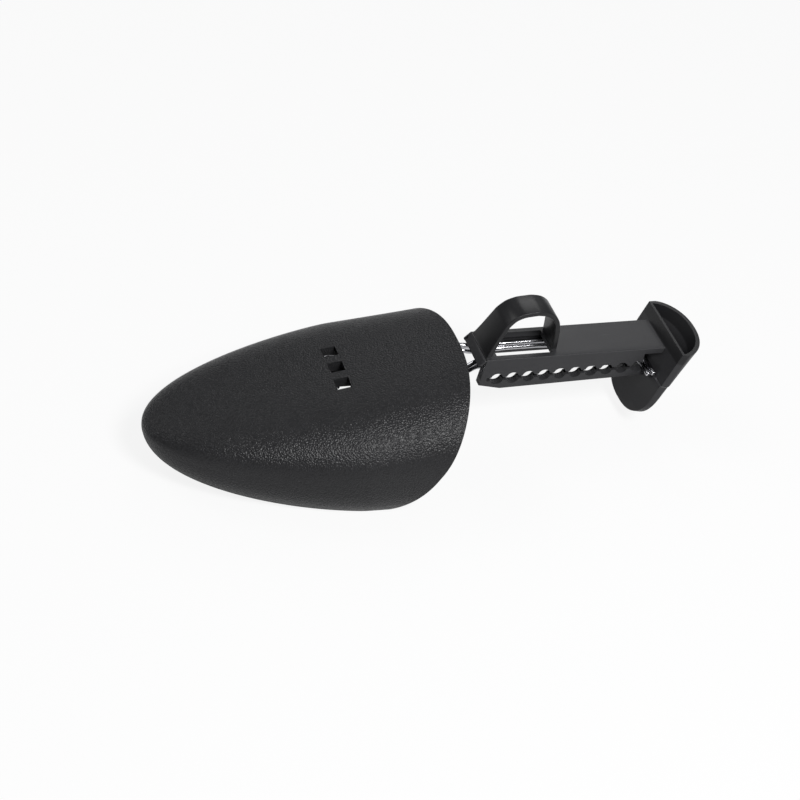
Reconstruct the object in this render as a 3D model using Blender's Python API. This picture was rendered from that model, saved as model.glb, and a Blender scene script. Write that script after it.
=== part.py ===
import math

import bmesh
import bpy
import numpy as np

# Whole object
overall_length = 0.230
shell_width = 0.0890
ring_top_height = 0.05406
working_gap = 0.0003

# Toe shell, stations measured from the toe tip
shell_top_length = 0.1224
rim_side_lean = 0.0153
rim_lower_lean = 0.0307
side_line_height = 0.0177
ridge_height = 0.0497
lower_depth = 0.0297
lower_round_length = 0.1087
width_round_length = 0.0809
side_line_station = 0.1061
shell_wall = 0.0022
side_start_share = 1.34
side_end_share = 2.08
ridge_start_share = 0.86
ridge_end_share = 1.85
section_share = 0.80

# Openings in the shell and the hooks under them
vent_station = 0.0741
vent_size = 0.0058
vent_pitch = 0.00993
hook_width = 0.0046
hook_wall = 0.0016
hook_lip = 0.0018
hook_barb = 0.0010
hook_barb_wall = 0.0012
hook_middle_drop = 0.0008
bar_height = 0.0352

# Wire
wire_diameter = 0.0021
strand_level = 0.0254
strand_pitch = 0.0027
pair_bend = 0.0026
loop_bend = 0.0030
bar_outer_reach = 0.0160
bar_inner_reach = 0.0014
cross_station = 0.1740
pin_station = 0.2095
pin_spacing = 0.0024
pin_overhang = 0.0050
near_fan = 0.0085
far_fan = 0.0040
near_bulge = 0.0023
far_bulge = 0.0001
bulge_run = 0.0140
descent_run = 0.0090
front_lift = 0.0017
far_low_lift = 0.0025
far_high_lift = 0.0021
fan_bend = 0.0080
near_strand_inset = 0.0004
far_strand_inset = 0.0004

# Handle beam
beam_offset = 0.01416
beam_width = 0.0198
beam_front = 0.1380
beam_rear = 0.2156
beam_top = 0.0349
plate_thickness = 0.0020
web_thickness = 0.0036
web_front_foot = 0.1367
web_front_foot_height = 0.0225
web_belly_station = 0.1459
web_belly_height = 0.0203
web_rear_height = 0.0217
skirt_thickness = 0.0018
skirt_height = 0.0031
far_wall_station = 0.1415
far_wall_low = 0.0240
front_lip_thickness = 0.0016
front_lip_lean = 0.0029
web_front_step = 0.0004

# Row of holes and the slot that joins them
hole_count = 10
hole_diameter = 0.0052
hole_first = 0.1440
hole_pitch = 0.00676
hole_first_level = 0.02525
hole_last_level = 0.02625
slot_height = 0.0027
slot_lead = 0.0044
notch_station = 0.2070

# Window under the finger ring
window_front = 0.1433
window_rear = 0.1672
window_near_margin = 0.0027
window_far_margin = 0.0024

# Finger ring
ring_strap = 0.0020
ring_foot_width = 0.0190
ring_top_width = 0.0123
ring_side_shift = 0.0006

# Heel cup
cup_offset = 0.0107
cup_top = 0.03975
cup_tip_height = 0.0051
cup_lean_share = 0.39
cup_half_width = 0.0191
cup_lower_half_width = 0.0190
cup_depth = 0.01251
cup_wall = 0.0020
cup_floor_height = 0.0170
tongue_ledge_height = 0.0244
tongue_ledge = 0.0006
tongue_edge = 0.0022
cup_full_share = 0.42
cup_tip_start_share = 2.6
cup_tip_end_share = 2.3
cup_deepening_share = 0.85
cup_side_share = 0.9
cup_bow_start_share = 2.2
cup_bow_end_share = 1.6
cup_lowest_share = 0.004
cup_level_share = 1.5

shell_rings = 26
shell_sides = 44
wire_sides = 12
bend_steps = 6
hole_sides = 24
cup_levels = 20
cup_sides = 36


def frame_x(station):
    return station - overall_length / 2


def clear_scene():
    for old in list(bpy.data.objects):
        bpy.data.objects.remove(old, do_unlink=True)


def surface_material(name, colour, roughness, metallic):
    material = bpy.data.materials.new(name)
    material.use_nodes = True
    shader = material.node_tree.nodes["Principled BSDF"]
    shader.inputs["Base Color"].default_value = (*colour, 1.0)
    shader.inputs["Roughness"].default_value = roughness
    shader.inputs["Metallic"].default_value = metallic
    material.diffuse_color = (*colour, 1.0)
    return material


def mesh_object(name, points, faces):
    mesh = bpy.data.meshes.new(name)
    mesh.from_pydata([tuple(map(float, p)) for p in points], [], faces)
    shape = bmesh.new()
    shape.from_mesh(mesh)
    bmesh.ops.recalc_face_normals(shape, faces=shape.faces)
    shape.to_mesh(mesh)
    shape.free()
    mesh.update()
    made = bpy.data.objects.new(name, mesh)
    bpy.context.scene.collection.objects.link(made)
    return made


def loft(name, rings):
    """Closed body through equal rings, its first and last ring filled."""
    count = len(rings[0])
    points = np.concatenate(rings)
    faces = []
    for r in range(len(rings) - 1):
        for k in range(count):
            a = r * count + k
            b = r * count + (k + 1) % count
            faces.append((a, b, b + count, a + count))
    faces.append(tuple(range(count)))
    last = (len(rings) - 1) * count
    faces.append(tuple(range(last, last + count)))
    return mesh_object(name, points, faces)


def side_slab(name, outline, y_low, y_high):
    """Plate with an outline in stations and heights, straight across the width."""
    rings = []
    for y in (y_low, y_high):
        rings.append(np.array([(frame_x(x), y, z) for x, z in outline]))
    return loft(name, rings)


def block(name, x_range, y_range, z_range):
    (x0, x1), (z0, z1) = x_range, z_range
    outline = [(x0, z0), (x1, z0), (x1, z1), (x0, z1)]
    return side_slab(name, outline, *y_range)


def combine(target, other, operation):
    step = target.modifiers.new("combine", "BOOLEAN")
    step.operation = operation
    step.solver = "EXACT"
    step.object = other
    bpy.context.view_layer.update()
    graph = bpy.context.evaluated_depsgraph_get()
    result = bpy.data.meshes.new_from_object(target.evaluated_get(graph))
    target.modifiers.clear()
    spent = target.data
    target.data = result
    bpy.data.meshes.remove(spent)
    bpy.data.objects.remove(other, do_unlink=True)


def tidy(target, material, crease_degrees):
    shape = bmesh.new()
    shape.from_mesh(target.data)
    bmesh.ops.remove_doubles(shape, verts=shape.verts, dist=working_gap / 30)
    bmesh.ops.dissolve_limit(shape, angle_limit=math.radians(0.2), verts=shape.verts, edges=shape.edges)
    bmesh.ops.recalc_face_normals(shape, faces=shape.faces)
    shape.to_mesh(target.data)
    shape.free()
    target.data.materials.clear()
    target.data.materials.append(material)
    target.data.shade_smooth()
    target.data.set_sharp_from_angle(angle=math.radians(crease_degrees))


def set_origin(target, point):
    shift = np.array(point)
    co = np.empty(len(target.data.vertices) * 3)
    target.data.vertices.foreach_get("co", co)
    co = (co.reshape(-1, 3) - shift).ravel()
    target.data.vertices.foreach_set("co", co)
    target.data.update()
    target.location = tuple(point)


def half_width_at(station):
    rest = max(1.0 - station / width_round_length, 0.0)
    at_line = 1.0 - max(1.0 - side_line_station / width_round_length, 0.0) ** side_start_share
    full = shell_width / 2 / at_line ** (1.0 / side_end_share)
    return full * (1.0 - rest ** side_start_share) ** (1.0 / side_end_share)


def ridge_above_line(station):
    rest = max(1.0 - station / shell_top_length, 0.0)
    full = ridge_height - side_line_height
    return full * (1.0 - rest ** ridge_start_share) ** (1.0 / ridge_end_share)


def belly_below_line(station):
    rest = max(1.0 - station / lower_round_length, 0.0)
    return lower_depth * math.sqrt(1.0 - rest ** 2)


def rim_station(rise):
    if rise >= 0:
        return shell_top_length - rim_side_lean * (1.0 - rise)
    return side_line_station + rim_lower_lean * rise


def shell_point(along, turn):
    """A point on the outer skin: along runs from toe to rim, turn round the section."""
    c = math.cos(turn)
    s = math.sin(turn)
    station = along * rim_station(s)
    y = half_width_at(station) * math.copysign(abs(c) ** section_share, c)
    if s >= 0:
        z = side_line_height + ridge_above_line(station) * s ** section_share
    else:
        z = side_line_height - belly_below_line(station) * (-s) ** section_share
    return np.array([frame_x(station), y, z])


def shell_skin():
    """Grid of outer points, toe first, one row per ring."""
    turns = np.linspace(0, 2 * math.pi, shell_sides, endpoint=False)
    alongs = 1.0 - np.cos(np.linspace(0, math.pi / 2, shell_rings))
    alongs[0] = alongs[1] * 0.15
    return np.array([[shell_point(a, t) for t in turns] for a in alongs])


def inward(grid, distance):
    """The same grid moved in by a wall thickness along its own normals."""
    around = np.roll(grid, -1, axis=1) - np.roll(grid, 1, axis=1)
    along = np.gradient(grid, axis=0)
    normal = np.cross(around, along)
    normal /= np.linalg.norm(normal, axis=2, keepdims=True)
    middle = grid.mean(axis=(0, 1))
    if np.sum(normal * (grid - middle)) < 0:
        normal = -normal
    normal[-1, :, 0] = 0.0
    normal[-1] /= np.linalg.norm(normal[-1], axis=1, keepdims=True)
    return grid - normal * distance


def roof_height(station, y):
    share = min(abs(y) / half_width_at(station), 1.0) ** (1.0 / section_share)
    rise = math.sqrt(1.0 - share ** 2)
    return side_line_height + ridge_above_line(station) * rise ** section_share


def build_shell(material):
    outer = shell_skin()
    inner = inward(outer, shell_wall)
    rings = list(outer) + list(inner[::-1][:-1])
    shell = loft("toe_shell", rings)
    deep = lower_depth + ridge_height
    wide = (-shell_width, shell_width)
    combine(shell, block("cut", (-deep, overall_length), wide, (-deep, 0.0)), "DIFFERENCE")
    bar_station = vent_station - vent_size / 2 + working_gap + wire_diameter / 2
    for side in (-1, 0, 1):
        y = side * vent_pitch
        drop = hook_middle_drop if side == 0 else 0.0
        lip_top = bar_height - wire_diameter / 2 - working_gap - drop
        back = vent_station - vent_size / 2
        top = roof_height(back, y) - shell_wall / 2
        tip = bar_station + wire_diameter / 2 + working_gap + hook_barb_wall
        barb = hook_barb if side else 0.0
        outline = [
            (back - hook_wall, top),
            (back - hook_wall, lip_top - hook_lip),
            (tip, lip_top - hook_lip),
            (tip, lip_top + barb),
            (tip - hook_barb_wall, lip_top + barb),
            (tip - hook_barb_wall, lip_top),
            (back, lip_top),
            (back, top),
        ]
        if not side:
            del outline[4:6]
        half = hook_width / 2
        combine(shell, side_slab("hook", outline, y - half, y + half), "UNION")
    half = vent_size / 2
    vent_low = roof_height(vent_station - half, vent_pitch + half) - shell_wall * 1.5
    for side in (-1, 0, 1):
        y = side * vent_pitch
        cutter = block(
            "vent",
            (vent_station - half, vent_station + half),
            (y - half, y + half),
            (vent_low, ridge_height + shell_wall),
        )
        combine(shell, cutter, "DIFFERENCE")
    tidy(shell, material, 40)
    return shell


def rounded_path(corners):
    """Points along straight runs whose corners are arcs of the radius each one states."""
    places = [np.array(p, dtype=float) for p, _ in corners]
    out = [places[0]]
    for i in range(1, len(corners) - 1):
        before = places[i - 1] - places[i]
        after = places[i + 1] - places[i]
        u = before / np.linalg.norm(before)
        v = after / np.linalg.norm(after)
        turn = math.pi - math.acos(max(-1.0, min(1.0, float(u @ v))))
        radius = corners[i][1]
        reach = min(
            radius * math.tan(turn / 2),
            np.linalg.norm(before) * 0.49,
            np.linalg.norm(after) * 0.49,
        )
        radius = reach / math.tan(turn / 2)
        middle = (u + v) / np.linalg.norm(u + v)
        centre = places[i] + middle * math.hypot(radius, reach)
        start = places[i] + u * reach - centre
        end = places[i] + v * reach - centre
        steps = max(2, math.ceil(bend_steps * turn / (math.pi / 2)))
        for k in range(steps + 1):
            t = k / steps
            arc = (math.sin((1 - t) * turn) * start + math.sin(t * turn) * end) / math.sin(turn)
            out.append(centre + arc)
    out.append(places[-1])
    return np.array(out)


def tube(name, path, radius, sides):
    """Round bar along a path, its section carried from point to point without twist."""
    tangent = np.gradient(path, axis=0)
    tangent /= np.linalg.norm(tangent, axis=1, keepdims=True)
    side = np.cross(tangent[0], (0, 0, 1.0))
    side /= np.linalg.norm(side)
    rings = []
    angle = np.linspace(0, 2 * math.pi, sides, endpoint=False)[:, None]
    for p, t in zip(path, tangent):
        side = side - t * (side @ t)
        side /= np.linalg.norm(side)
        up = np.cross(t, side)
        rings.append(p + radius * (np.cos(angle) * side + np.sin(angle) * up))
    return loft(name, rings)


def build_wire(material):
    radius = wire_diameter / 2
    bar_station = vent_station - vent_size / 2 + working_gap + radius
    web_inner = beam_offset - beam_width / 2 + web_thickness
    skirt_inner = beam_offset + beam_width / 2 - skirt_thickness
    near_y = web_inner + near_strand_inset + radius
    far_y = skirt_inner - far_strand_inset - radius
    pin_tip = beam_offset - beam_width / 2 - pin_overhang
    low = strand_level
    high = strand_level + strand_pitch
    run = beam_front - bar_station

    def fan(level, front_y, fan_y, bar_y):
        """Corners of one strand outside the beam, fanned out and led to its end of a front bar."""
        shares = ((0.78, 0.22, 0.0), (0.42, 0.52, 0.55), (0.13, 0.90, 1.0))
        places = [((beam_front, front_y, level + front_lift), fan_bend)]
        for along, lift, back in shares:
            y = fan_y + (bar_y - fan_y) * back
            place = (bar_station + along * run, y, level + lift * (bar_height - level))
            places.append((place, fan_bend))
        places.append(((bar_station, bar_y, bar_height), loop_bend))
        return places

    near_front = near_y + near_bulge
    far_front = far_y + far_bulge
    near_low = fan(low, near_front, near_front - near_fan, -bar_outer_reach)
    near_high = fan(high, near_front, near_front - near_fan, -bar_inner_reach)
    far_low = fan(low, far_front, far_front + far_fan, bar_outer_reach)
    far_high = fan(high, far_front, far_front + far_fan, bar_inner_reach)
    first_pin = pin_station - pin_spacing / 2
    second_pin = pin_station + pin_spacing / 2
    inside = beam_front + bulge_run
    far_low_level = low + far_low_lift
    far_high_level = high + far_high_lift
    corners = [((first_pin, pin_tip, low), 0.0), ((first_pin, near_y, low), pair_bend)]
    corners += [((inside, near_y, low), fan_bend)]
    corners += near_low
    corners += near_high[::-1]
    corners += [((inside, near_y, high), fan_bend), ((cross_station, near_y, high), loop_bend)]
    corners += [((cross_station, far_y, far_high_level), loop_bend), ((inside, far_y, far_high_level), fan_bend)]
    corners += far_high
    corners += far_low[::-1]
    corners += [((inside, far_y, far_low_level), fan_bend), ((window_rear, far_y, far_low_level), fan_bend)]
    corners += [((second_pin - descent_run, far_y, low), fan_bend)]
    corners += [((second_pin, far_y, low), pair_bend), ((second_pin, pin_tip, low), 0.0)]
    corners = [((frame_x(x), y, z), r) for (x, y, z), r in corners]
    wire = tube("spring_wire", rounded_path(corners), radius, wire_sides)
    tidy(wire, material, 50)
    set_origin(wire, (frame_x(bar_station), 0.0, bar_height))
    return wire


def cup_plane(height):
    return beam_rear - cup_lean_share * (beam_top - height)


def cup_half_width_at(height):
    low = cup_lower_half_width
    share = min(max((height - cup_tip_height) / (cup_top - cup_tip_height), 0.0), 1.0)
    wide = low + (cup_half_width - low) * share
    if share >= cup_full_share:
        return wide
    rest = 1.0 - share / cup_full_share
    return wide * (1.0 - rest ** cup_tip_start_share) ** (1.0 / cup_tip_end_share)


def cup_depth_at(height):
    share = min(max((height - cup_tip_height) / (cup_top - cup_tip_height), 0.0), 1.0)
    return tongue_edge + (cup_depth - tongue_edge) * share ** cup_deepening_share


def cup_ring(height, inset, floor_depth=None):
    """D section at one height: a straight front across the width and a bowed back."""
    half = cup_half_width_at(height) - inset
    depth = cup_depth_at(height) - 2 * inset
    front = cup_plane(height) + inset
    if height < tongue_ledge_height and not inset:
        front -= tongue_ledge
        depth += tongue_ledge
    flat = cup_sides // 3
    points = [(front, half * (1 - 2 * k / flat)) for k in range(flat)]
    for k in range(cup_sides - flat):
        t = math.pi * k / (cup_sides - flat)
        y = -half * math.copysign(abs(math.cos(t)) ** cup_side_share, math.cos(t))
        rest = 1.0 - min(abs(y) / half, 1.0) ** cup_bow_start_share
        bow = rest ** (1.0 / cup_bow_end_share)
        start = front + min(tongue_edge, depth / 2) if not inset else front
        points.append((start + (front + depth - start) * bow, y))
    return np.array([(frame_x(x), cup_offset + y, height) for x, y in points])


def build_handle(material):
    near = beam_offset - beam_width / 2
    far = beam_offset + beam_width / 2
    inner = near + web_thickness
    under = beam_top - plate_thickness
    past = cup_wall / 2
    skirt_bottom = beam_top - skirt_height
    beyond = beam_width
    outline = [
        (beam_front, beam_top),
        (beam_front - front_lip_lean, skirt_bottom),
        (web_front_foot, web_front_foot_height),
        (web_belly_station, web_belly_height),
        (cup_plane(web_rear_height) + past, web_rear_height),
        (cup_plane(beam_top) + past, beam_top),
    ]
    handle = side_slab("handle", outline, near, far)
    clear = [
        (beam_front + web_front_step, beam_top),
        (web_front_foot, web_front_foot_height),
        (web_front_foot, -beam_top),
        (beam_front - beyond, -beam_top),
        (beam_front - beyond, beam_top + plate_thickness),
        (beam_front + web_front_step, beam_top + plate_thickness),
    ]
    combine(handle, side_slab("web front", clear, near - beyond, inner - skirt_thickness), "DIFFERENCE")
    for x0, z1 in ((beam_front + front_lip_thickness, under), (beam_front - beyond, skirt_bottom)):
        sides = (inner, far - skirt_thickness)
        hollow = block("hollow", (x0, beam_rear + beyond), sides, (-beam_top, z1))
        combine(handle, hollow, "DIFFERENCE")
    for x1, z1 in ((far_wall_station, skirt_bottom), (beam_rear + beyond, far_wall_low)):
        cutter = block("far wall edge", (beam_front - beyond, x1), (inner, far + beyond), (-beam_top, z1))
        combine(handle, cutter, "DIFFERENCE")
    radius = hole_diameter / 2
    for k in range(hole_count):
        station = hole_first + k * hole_pitch
        level = hole_first_level + (hole_last_level - hole_first_level) * k / (hole_count - 1)
        angles = [2 * math.pi * (j + 0.5) / hole_sides for j in range(hole_sides)]
        outline = [(station + radius * math.cos(a), level + radius * math.sin(a)) for a in angles]
        cutter = side_slab("hole", outline, near - web_thickness, inner + web_thickness)
        combine(handle, cutter, "DIFFERENCE")
    slot_start = hole_first - slot_lead
    slot_end = notch_station + working_gap
    tall = (strand_level - slot_height / 2, strand_level + slot_height / 2)
    cutter = block("slot", (slot_start, slot_end), (near - web_thickness, inner + web_thickness), tall)
    combine(handle, cutter, "DIFFERENCE")
    notch_top = under - plate_thickness / 4
    notch_sides = (near - web_thickness, inner + web_thickness)
    notch = block("notch", (notch_station, beam_rear + beyond), notch_sides, (tall[0], notch_top))
    combine(handle, notch, "DIFFERENCE")
    window = block(
        "window",
        (window_front, window_rear),
        (near + window_near_margin, far - window_far_margin),
        (under - plate_thickness / 4, beam_top + plate_thickness),
    )
    combine(handle, window, "DIFFERENCE")
    combine(handle, build_ring(), "UNION")
    combine(handle, build_cup(), "UNION")
    tidy(handle, material, 35)
    set_origin(handle, (frame_x(beam_front), beam_offset, strand_level))
    return handle


def ring_line():
    """Side line of the strap's outside, from its front foot over the top to its rear foot."""
    rise = ring_top_height - beam_top
    start = beam_front + working_gap
    span = window_rear + working_gap + ring_strap - start
    shares = [
        (0.000, 0.000), (0.082, 0.260), (0.165, 0.520), (0.233, 0.725), (0.335, 0.893),
        (0.470, 0.974), (0.670, 1.000), (0.815, 0.962), (0.917, 0.845), (0.975, 0.684),
        (0.998, 0.415), (1.000, 0.200), (1.000, 0.000),
    ]
    points = [(start + span * a, beam_top + rise * b) for a, b in shares]
    corners = [((x, 0.0, z), ring_strap * 4) for x, z in points]
    path = rounded_path(corners)
    return path[:, [0, 2]]


def build_ring():
    line = ring_line()
    tangent = np.gradient(line, axis=0)
    tangent /= np.linalg.norm(tangent, axis=1, keepdims=True)
    inner = line + np.stack([tangent[:, 1], -tangent[:, 0]], axis=1) * ring_strap
    low = beam_top - plate_thickness / 2
    line[0, 1] = line[-1, 1] = inner[0, 1] = inner[-1, 1] = low
    inner[0, 0] = line[0, 0] + ring_strap
    centre = beam_offset + ring_side_shift
    rings = []
    total = ring_top_height - beam_top
    for i, (a, b) in enumerate(zip(line, inner)):
        share = min(max((a[1] - beam_top) / total, 0.0), 1.0)
        half = (ring_foot_width + (ring_top_width - ring_foot_width) * math.sqrt(share)) / 2
        if i > len(line) // 2:
            half = ring_top_width / 2
        middle = centre if i > len(line) // 2 else beam_offset + ring_side_shift * math.sqrt(share)
        rings.append(np.array([
            (frame_x(a[0]), middle - half, a[1]),
            (frame_x(a[0]), middle + half, a[1]),
            (frame_x(b[0]), middle + half, b[1]),
            (frame_x(b[0]), middle - half, b[1]),
        ]))
    return loft("ring", rings)


def build_cup():
    ledge = tongue_ledge / 4
    span = cup_top - cup_tip_height
    lowest = cup_tip_height + span * cup_lowest_share
    shares = np.linspace(0.0, 1.0, cup_levels)
    heights = [lowest + (cup_top - lowest) * s ** cup_level_share for s in shares]
    heights = [h for h in heights if abs(h - tongue_ledge_height) > ledge * 3]
    heights += [tongue_ledge_height - ledge, tongue_ledge_height]
    heights = sorted(heights)
    outer = [cup_ring(h, 0.0) for h in heights]
    inner_heights = np.linspace(cup_top, cup_floor_height, cup_levels // 2)
    inner = [cup_ring(h, cup_wall) for h in inner_heights]
    return loft("cup", outer + inner)


def main():
    clear_scene()
    build_shell(surface_material("toe_shell", (0.030, 0.031, 0.033), 0.62, 0.0))
    build_wire(surface_material("spring_wire", (0.62, 0.62, 0.64), 0.22, 1.0))
    build_handle(surface_material("handle", (0.035, 0.035, 0.038), 0.42, 0.0))


main()
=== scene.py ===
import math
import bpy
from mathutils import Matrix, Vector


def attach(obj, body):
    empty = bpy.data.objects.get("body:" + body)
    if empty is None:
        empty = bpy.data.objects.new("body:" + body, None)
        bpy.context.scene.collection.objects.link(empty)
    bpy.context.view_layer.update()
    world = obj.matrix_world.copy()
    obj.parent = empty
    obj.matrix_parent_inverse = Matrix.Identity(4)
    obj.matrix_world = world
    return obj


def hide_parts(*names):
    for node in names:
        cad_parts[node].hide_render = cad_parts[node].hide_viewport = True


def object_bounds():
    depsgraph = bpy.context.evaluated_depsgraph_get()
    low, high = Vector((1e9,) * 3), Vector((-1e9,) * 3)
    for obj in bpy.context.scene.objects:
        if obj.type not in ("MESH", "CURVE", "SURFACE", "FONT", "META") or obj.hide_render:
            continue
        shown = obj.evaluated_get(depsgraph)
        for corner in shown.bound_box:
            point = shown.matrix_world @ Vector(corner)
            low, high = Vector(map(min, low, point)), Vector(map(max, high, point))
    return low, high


bl_info = {
    "name": "Shoe Shaper",
    "version": (1, 0, 0),
    "blender": (4, 5, 0),
    "location": "View3D > Sidebar > Shaper",
    "description": "Builds a spring shoe shaper: toe shell, bent wire, ringed handle and heel cup",
    "category": "Add Mesh",
}

import bmesh
import bpy
import numpy as np
from bpy.props import FloatProperty, FloatVectorProperty, IntProperty, PointerProperty
from mathutils import Matrix, Vector

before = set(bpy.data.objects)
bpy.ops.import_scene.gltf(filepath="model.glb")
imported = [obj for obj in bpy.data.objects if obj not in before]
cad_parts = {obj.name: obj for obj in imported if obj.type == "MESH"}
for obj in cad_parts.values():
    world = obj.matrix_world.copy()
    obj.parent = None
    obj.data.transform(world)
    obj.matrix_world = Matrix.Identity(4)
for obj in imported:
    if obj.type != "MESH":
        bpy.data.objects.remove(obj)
CAD_LOW, CAD_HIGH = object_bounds()
TOE_X = float(CAD_LOW[0])


def size(name, default, description):
    return FloatProperty(name=name, default=default, description=description, unit="LENGTH", precision=5)


def share(name, default, description):
    return FloatProperty(name=name, default=default, description=description)


def colour(name, default, description):
    return FloatVectorProperty(
        name=name, default=default, description=description, subtype="COLOR", size=3, min=0.0, max=1.0
    )


# A station is a distance from the toe tip along the shaper.

class ToeShellSizes(bpy.types.PropertyGroup):
    width: size("Width", 0.0890, "Across the shell at its widest line")
    top_length: size("Top length", 0.1224, "Toe tip to the rear rim along the ridge")
    side_lean: size("Side rim lean", 0.0153, "How far the rear rim leans forward down to the widest line")
    lower_lean: size("Lower rim lean", 0.0307, "How far the rear rim leans forward below that line")
    line_height: size("Widest line", 0.0177, "Height of the widest line")
    ridge_height: size("Ridge height", 0.0497, "Height of the top at the rear")
    lower_depth: size("Lower depth", 0.0297, "Depth of the full lower curve, cut off at the rim")
    lower_round: size("Lower rounding", 0.1087, "Length over which the lower curve deepens")
    width_round: size("Width rounding", 0.0809, "Length over which the shell widens")
    line_station: size("Rim on the line", 0.1061, "Station of the rim on the widest line")
    wall: size("Wall", 0.0022, "Wall thickness")
    rim_round: size("Rim rounding", 0.0004, "Rounding of the rims and of the vent edges")
    side_start: share("Side start", 1.34, "How quickly the shell widens at the toe")
    side_end: share("Side end", 2.08, "How squarely the shell widens")
    ridge_start: share("Ridge start", 0.86, "How quickly the ridge rises at the toe")
    ridge_end: share("Ridge end", 1.85, "How squarely the ridge rises")
    section: share("Section", 0.80, "Fullness of the cross section")
    vent_station: size("Vent row", 0.0741, "Station of the vents")
    vent: size("Vent size", 0.0058, "Side of a square vent")
    vent_pitch: size("Vent pitch", 0.00993, "Vent to vent across the shell")
    hook_width: size("Hook width", 0.0046, "Width of a moulded hook under a vent")
    hook_wall: size("Hook wall", 0.0016, "Thickness of a hook's hanging wall")
    hook_lip: size("Hook lip", 0.0018, "Thickness of a hook's lip")
    hook_barb: size("Hook barb", 0.0010, "Rise of the barb that keeps the wire in")
    hook_barb_wall: size("Barb wall", 0.0012, "Thickness of the barb")
    well: size("Vent well", 0.0014, "Height of the vents' side walls over the front bars' middle")
    hook_drop: size("Middle hook drop", 0.0008, "How much lower the middle hook sits")
    bar_height: size("Bar height", 0.0352, "Height of the wire's front bars")
    gap: size("Working gap", 0.0003, "Gap between pieces that touch")


class WireSizes(bpy.types.PropertyGroup):
    diameter: size("Diameter", 0.0021, "Thickness of the wire")
    level: size("Strand level", 0.0254, "Height of the lower strands in the slot")
    pitch: size("Strand pitch", 0.0027, "Lower strand to upper strand")
    pair_bend: size("End bend", 0.0022, "Bend radius at the latching ends")
    loop_bend: size("Loop bend", 0.0030, "Bend radius of the front bars and the cross run")
    fan_bend: size("Fan bend", 0.0080, "Bend radius of the easy bends")
    outer_reach: size("Bar outer end", 0.0160, "Outer end of a front bar from the middle")
    inner_reach: size("Bar inner end", 0.0014, "Inner end of a front bar from the middle")
    cross_station: size("Cross run", 0.1740, "Station of the cross run")
    pin_station: size("Latching ends", 0.2095, "Station of the latching ends")
    pin_spacing: size("End spacing", 0.0024, "Centre distance of the two latching ends")
    pin_overhang: size("End overhang", 0.0050, "How far the ends stand out of the holes")
    near_fan: size("Near fan", 0.0085, "How far the near pair spreads towards the shell")
    far_fan: size("Far fan", 0.0040, "How far the far pair spreads towards the shell")
    near_bulge: size("Near bulge", 0.0023, "Sideways set of the near pair at the beam's front")
    far_bulge: size("Far bulge", 0.0001, "Sideways set of the far pair at the beam's front")
    bulge_run: size("Bulge run", 0.0140, "Length of that set inside the beam")
    descent_run: size("Descent run", 0.0090, "Level run of the far strand before its end")
    front_lift: size("Front lift", 0.0017, "Rise of the strands at the beam's front")
    far_low_lift: size("Far low lift", 0.0025, "Rise of the far lower strand under the window")
    far_high_lift: size("Far high lift", 0.0021, "Rise of the far upper strand under the window")
    side_inset: size("Side inset", 0.0004, "Gap between a strand and the beam's side")


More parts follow.
